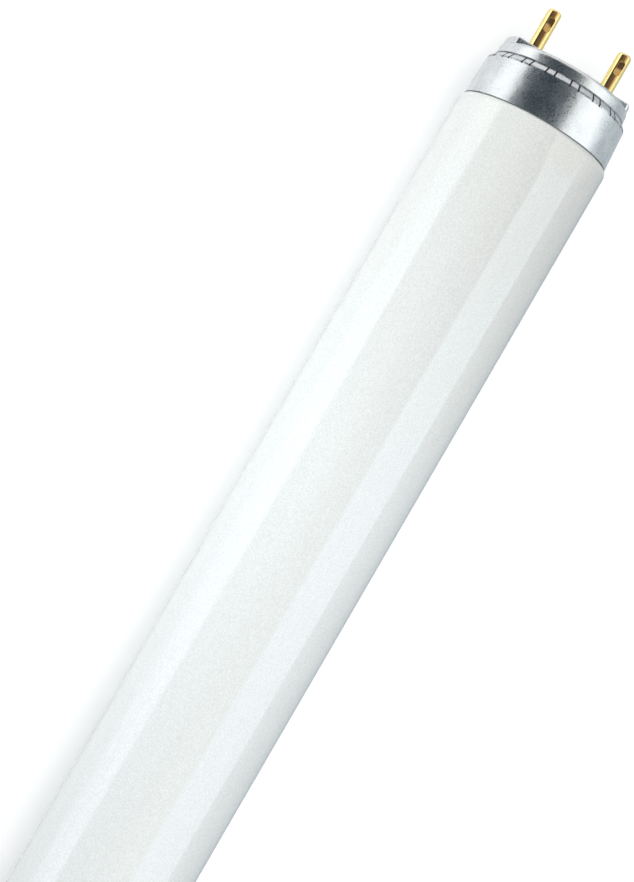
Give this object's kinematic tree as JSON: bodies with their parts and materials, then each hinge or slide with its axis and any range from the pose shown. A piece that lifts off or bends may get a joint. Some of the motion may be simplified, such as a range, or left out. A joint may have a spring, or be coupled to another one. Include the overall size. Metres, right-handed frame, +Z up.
{
  "type": "fluorescent tube",
  "caption": "Straight white-coated glass fluorescent tube with a pressed aluminium cap and a pair of brass contact pins at each end.",
  "frame": {"origin": "middle of the tube on its axis, which is the centre of the whole lamp's box", "axes": "+X along the tube towards the right-hand end, Y across the pins, +Z up and square to the plane of the pins"},
  "size_m": [0.604, 0.0254, 0.0254],
  "materials": {
    "coated_glass": "glossy clear glass over an opaque white coating",
    "cap_aluminium": "satin, pressed sheet",
    "plate_phenolic": "matte moulded phenolic",
    "pin_brass": "polished, drawn",
    "basing_cement": "matte, baked",
    "lead_wire": "drawn wire"
  },
  "bodies": {
    "root": {"glass_tube": "coated_glass", "left_cap": "cap_aluminium", "right_cap": "cap_aluminium", "left_insulating_plate": "plate_phenolic", "right_insulating_plate": "plate_phenolic", "left_front_pin": "pin_brass", "left_rear_pin": "pin_brass", "right_front_pin": "pin_brass", "right_rear_pin": "pin_brass", "left_cement_ring": "basing_cement", "right_cement_ring": "basing_cement", "left_front_lead_wire": "lead_wire", "left_rear_lead_wire": "lead_wire", "right_front_lead_wire": "lead_wire", "right_rear_lead_wire": "lead_wire"}
  },
  "joints": []
}
